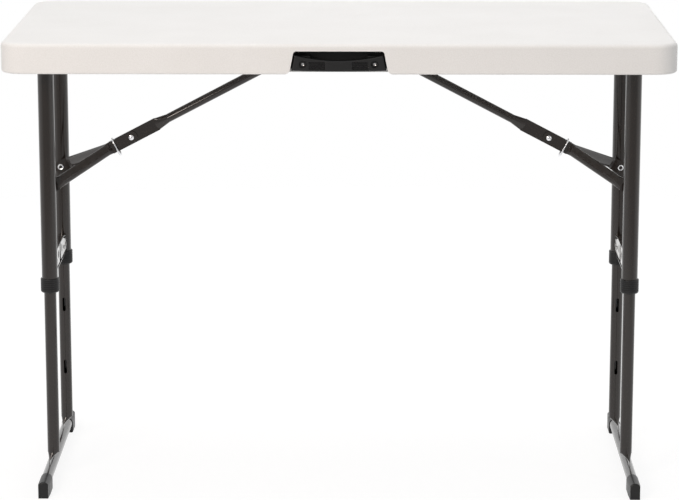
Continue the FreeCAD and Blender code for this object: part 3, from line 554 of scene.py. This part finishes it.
def finished_piece(mesh, name, slot_name, body, stands_for=()):
    """Turn a bmesh into a named object that rides on a body, and free the bmesh."""
    bmesh.ops.recalc_face_normals(mesh, faces=mesh.faces)
    data = bpy.data.meshes.new(name)
    mesh.to_mesh(data)
    mesh.free()
    data.polygons.foreach_set("use_smooth", [True] * len(data.polygons))
    data.set_sharp_from_angle(angle=SOFT_EDGE)
    data.materials.append(FINISHES[slot_name])
    made = bpy.data.objects.new(name, data)
    bpy.context.scene.collection.objects.link(made)
    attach(made, body)
    if stands_for:
        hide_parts(*stands_for)
    print(name, len(data.polygons), "faces")


def only(kind, geometry):
    """The vertices, edges or faces among what an operator gives back."""
    return [item for item in geometry if isinstance(item, kind)]


def turned(mesh, profile, seat, direction, steps=32):
    """Spin (radius, height) points, in millimetres, about a line from seat along direction."""
    before = set(mesh.verts)
    points = [mesh.verts.new((radius * MM, 0, height * MM)) for radius, height in profile]
    edges = [mesh.edges.new(pair) for pair in zip(points, points[1:])]
    bmesh.ops.spin(mesh, geom=points + edges, cent=(0, 0, 0), axis=(0, 0, 1),
                   angle=2 * math.pi, steps=steps, use_merge=True)
    new = [vert for vert in mesh.verts if vert not in before]
    turn = Vector(direction).to_track_quat("Z", "X").to_matrix().to_4x4()
    bmesh.ops.transform(mesh, matrix=Matrix.Translation(seat) @ turn, verts=new)
    bmesh.ops.remove_doubles(mesh, verts=new, dist=WELD)


def eased(value, start, end):
    """0 before start, 1 after end, and a smooth curve between them."""
    share = min(1.0, max(0.0, (value - start) / (end - start)))
    return share * share * (3 - 2 * share)


# %% [markdown]
# ## The carrying handle
# The real handle is one injection moulding: a bar with a dipped upper edge, four grooves on each
# side of a plain plate, and a round well for each screw. It could be cut with booleans, but moulded
# forms are never that crisp, so the front starts as a grid and each point is pushed back by a
# relief: rolled edges, grooves, wells and plate are all soft steps in that one surface.

# %% The handle's measures
grip_low, grip_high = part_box("carry_handle")
screw_low, screw_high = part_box("handle_screws")
PLATE_RAISE = 0.6 * MM
PLATE_SIDE, PLATE_EDGE = (22.8 * MM, 23.6 * MM), (7.0 * MM, 7.6 * MM)
GROOVES, GROOVE_PITCH, GROOVE_DEPTH = 4, 3.6 * MM, 2.2 * MM
GROOVE_WALL = (0.45 * MM, 1.35 * MM)
GROOVE_START, GROOVE_END = (23.8 * MM, 24.8 * MM), (52.0 * MM, 54.0 * MM)
WELL_RADIUS, WELL_DEPTH, WELL_WALL = 7.0 * MM, 4.2 * MM, 1.2 * MM
EDGE_ROLL = 2.8 * MM
BAR_BOW, BAR_DIP = 1.7 * MM, 10.0 * MM
BAR_THICK = 13.0 * MM
SIDE_SLOPE = 0.193               # the pocket's sides lean in towards the roof
HEAD_RADIUS = 4.2 * MM
bar_front = grip_low.y + PLATE_RAISE
foot_half = grip_high.x
head_half = foot_half - SIDE_SLOPE * (grip_high.z - grip_low.z - BAR_BOW)
bar_middle = (grip_low.z + BAR_BOW + grip_high.z - BAR_DIP) / 2
screw_x = screw_high.x - HEAD_RADIUS
screw_z = (screw_low.z + screw_high.z) / 2
print("bar", round(2 * foot_half / MM), "mm wide, screws", round(2 * screw_x / MM), "mm apart")


# %% [markdown]
# A soft step is a pair of distances: where the wall starts and where it ends. Multiplying two steps
# keeps a feature to a box, and rounding a height to the nearest row repeats a groove.

# %% The handle's relief
def bar_relief(x, z, edge):
    """How far a point of the bar's front, edge metres from its outline, lies behind its plane."""
    back = 0.0
    if edge < EDGE_ROLL:
        back += EDGE_ROLL - math.sqrt(EDGE_ROLL ** 2 - (EDGE_ROLL - edge) ** 2)
    in_plate = (1 - eased(abs(x), *PLATE_SIDE)) * (1 - eased(abs(z - bar_middle), *PLATE_EDGE))
    back -= PLATE_RAISE * in_plate
    in_run = eased(abs(x), *GROOVE_START) * (1 - eased(abs(x), *GROOVE_END))
    row = (z - bar_middle) / GROOVE_PITCH + 0.5
    from_row = abs(row - round(row)) * GROOVE_PITCH
    if abs(row - 0.5) < GROOVES / 2:
        back += GROOVE_DEPTH * in_run * (1 - eased(from_row, *GROOVE_WALL))
    from_screw = math.hypot(abs(x) - screw_x, z - screw_z)
    back += WELL_DEPTH * (1 - eased(from_screw, WELL_RADIUS - WELL_WALL, WELL_RADIUS))
    return back


# %% [markdown]
# The grid's points are spread over the bar's outline: its foot bows down, its head dips, and its
# ends lean in. Its rim is then extruded back and closed, and a post at each end joins the bar to
# the pocket's rear wall.

# %% Handle bar
COLUMNS, ROWS = 210, 58
POST_INNER, POST_LAP, POST_TRIM = 52.0 * MM, 1.0 * MM, 6.0 * MM

bar = bmesh.new()
bmesh.ops.create_grid(bar, x_segments=COLUMNS, y_segments=ROWS, size=1.0)
for vert in bar.verts:
    along, up = vert.co.x, (vert.co.y + 1) / 2
    low = grip_low.z + BAR_BOW * along ** 2
    high = grip_high.z - BAR_DIP * (1 - along ** 2)
    half = foot_half + (head_half - foot_half) * up
    x, z = half * along, low + (high - low) * up
    edge = min(half * (1 - abs(along)), (high - low) * up, (high - low) * (1 - up))
    vert.co = (x, bar_front + bar_relief(x, z, edge), z)
rim = [edge for edge in bar.edges if edge.is_boundary]
wall = bmesh.ops.extrude_edge_only(bar, edges=rim)["geom"]
for vert in only(bmesh.types.BMVert, wall):
    vert.co.y = bar_front + BAR_THICK
back_rim = [edge for edge in only(bmesh.types.BMEdge, wall) if edge.is_boundary]
bmesh.ops.contextual_create(bar, geom=back_rim)
for side in (-1, 1):
    post = bmesh.ops.create_cube(bar, size=1.0)["verts"]
    size = Vector((head_half - POST_INNER, grip_high.y - bar_front - BAR_THICK + POST_LAP,
                   grip_high.z - grip_low.z - POST_TRIM))
    centre = Vector((side * (head_half + POST_INNER) / 2, grip_high.y - size.y / 2,
                     (grip_high.z + grip_low.z) / 2))
    place = Matrix.Translation(centre) @ Matrix.Diagonal((*size, 1))
    bmesh.ops.transform(bar, matrix=place, verts=post)
finished_piece(bar, "carry_handle_bar", "black_plastic", "top", ["carry_handle"])

# %% [markdown]
# The recess behind the bar is lined with a thin black cup, which darkens the recess and draws a
# dark outline round its mouth. It is a sheet run along three sides, closed at
# the back, rounded with one bevel and then given its thickness.

# %% Handle cup
CUP_CLEAR, CUP_WALL, CUP_INSET = 0.15 * MM, 0.9 * MM, 0.3 * MM
CUP_CORNER, CORNER_SEGMENTS = 5.8 * MM, 5
ROOF_BELOW_TOP, ROOF_HALF = 13.0 * MM, 81.0 * MM
table_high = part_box("table_top")[1]
roof = table_high.z - ROOF_BELOW_TOP - CUP_CLEAR
roof_half = ROOF_HALF - CUP_CLEAR
cup_foot = grip_low.z + BAR_BOW
cup_foot_half = roof_half + SIDE_SLOPE * (roof - cup_foot)
cup_front, cup_back = bar_front + CUP_INSET, grip_high.y - CUP_CLEAR

cup = bmesh.new()
outline = ((-cup_foot_half, cup_foot), (-roof_half, roof), (roof_half, roof), (cup_foot_half, cup_foot))
corners = [cup.verts.new((x, cup_front, z)) for x, z in outline]
runs = [cup.edges.new(pair) for pair in zip(corners, corners[1:])]
swept = bmesh.ops.extrude_edge_only(cup, edges=runs)["geom"]
ends = only(bmesh.types.BMVert, swept)
bmesh.ops.translate(cup, verts=ends, vec=(0, cup_back - cup_front, 0))
left_foot, left_head = sorted((v for v in ends if v.co.x < 0), key=lambda v: v.co.z)
right_foot, right_head = sorted((v for v in ends if v.co.x > 0), key=lambda v: v.co.z)
cup.faces.new((left_foot, left_head, right_head, right_foot))
bmesh.ops.recalc_face_normals(cup, faces=cup.faces)
inner_edges = [edge for edge in cup.edges if len(edge.link_faces) == 2]
bmesh.ops.bevel(cup, geom=inner_edges, offset=CUP_CORNER, offset_type="OFFSET",
                segments=CORNER_SEGMENTS, profile=0.5, affect="EDGES", material=-1, clamp_overlap=True)
ceiling = max(cup.faces, key=lambda face: face.calc_center_median().z)
inward = 1 if ceiling.normal.z > 0 else -1
bmesh.ops.solidify(cup, geom=cup.faces[:], thickness=inward * CUP_WALL)
print("cup reaches", [round(max(abs(v.co[i]) for v in cup.verts) / MM, 2) for i in range(3)])
finished_piece(cup, "handle_cup", "black_plastic", "top")

# %% [markdown]
# The handle's screws are button heads sunk in their wells: a turned profile with a deep socket,
# which is what gives a small bright ring round a dark middle.

# %% Handle screws
BUTTON = [(0, 0.4), (1.5, 0.5), (1.7, 1.9), (2.3, 2.1), (3.2, 1.5), (3.7, 0.6), (3.8, 0), (2.0, 0),
          (2.0, -24.0), (0, -25.0)]

screws = bmesh.new()
for side in (-1, 1):
    turned(screws, BUTTON, (side * screw_x, bar_front + WELL_DEPTH, screw_z), (0, -1, 0))
finished_piece(screws, "handle_screw_buttons", "steel_screw", "top", ["handle_screws"])

# %% [markdown]
# ## Rivets
# The elbow of each brace turns on a solid rivet. Setting it leaves a domed head with a small dimple
# in the middle and a thin skirt pressed out round the edge. A round thing with such a profile is
# best spun, because every step of the profile stays exactly round.

# %% Elbow rivets
ELBOW_HEAD = [(0, 1.6), (0.8, 1.65), (1.3, 2.15), (2.4, 2.0), (3.4, 1.5), (4.0, 0.8), (4.9, 0.55),
              (5.0, 0.0)]
HEAD_TALL = 2.2 * MM
SHANK_RADIUS = 3.0               # in millimetres, as the profiles are


def elbow_rivet(side):
    """Two heads, each with its half of the shank, on the brace of one end."""
    low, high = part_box(side + "_elbow_rivet")
    middle = (low + high) / 2
    reach = (high.y - low.y) / 2 - HEAD_TALL
    shank = [(SHANK_RADIUS, 0.0), (SHANK_RADIUS, -reach / MM), (0, -reach / MM)]
    rivet = bmesh.new()
    for way in (-1, 1):
        turned(rivet, ELBOW_HEAD + shank, (middle.x, way * reach, middle.z), (0, way, 0))
    finished_piece(rivet, side + "_elbow_rivet_set", "chrome_wire", side + "_brace",
                   [side + "_elbow_rivet"])


# %% [markdown]
# The fork's feet have hollow rivets: the end is rolled over into a lip, and the middle stays open.
# The lip is a closed ring of a profile. A near-black plug of its own sits in the mouth of the bore:
# it is painted shade, standing in for the shadow inside the open bore.

# %% Foot rivets
FOOT_LIP = [(2.9, -0.6), (3.1, 1.4), (3.7, 2.3), (4.5, 2.55), (5.3, 2.1), (5.75, 1.2), (5.8, 0.0),
            (3.4, 0.0), (3.4, -4.6), (2.9, -4.6), (2.9, -0.6)]
# The plug fills the rivet's open bore near its mouth; its near-black is painted shade for the shadow
# inside the bore.
FOOT_SHADE_PLUG = [(0, -0.2), (1.2, 0.1), (2.85, -0.4), (2.85, -4.5), (0, -4.5)]
PAD_THICK = 3.0 * MM


def foot_rivets(side):
    """A lip, and a near-black plug of painted shade in its bore, on the inner face of each foot of one
    end's fork.
    """
    low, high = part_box(side + "_fork_rivets")
    arm_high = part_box(side + "_fork_arm_rear")[1]
    pad_face = arm_high.y - PAD_THICK
    lips, shade_plugs = bmesh.new(), bmesh.new()
    for way in (-1, 1):
        seat = ((low.x + high.x) / 2, way * pad_face, (low.z + high.z) / 2)
        turned(lips, FOOT_LIP, seat, (0, -way, 0))
        turned(shade_plugs, FOOT_SHADE_PLUG, seat, (0, -way, 0))
    finished_piece(lips, side + "_fork_rivet_lips", "chrome_wire", side + "_fork", [side + "_fork_rivets"])
    # Each bore's dark plug is painted shade, standing in for the shadow inside the open bore.
    finished_piece(shade_plugs, side + "_fork_rivet_shade_plugs", "bronze_powder_coat", side + "_fork")


# %% Set the rivets at both ends
for side in ("left", "right"):
    elbow_rivet(side)
    foot_rivets(side)

# %% Write the sizes
low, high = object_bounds()
print("visual box", [round(v, 3) for v in high - low])
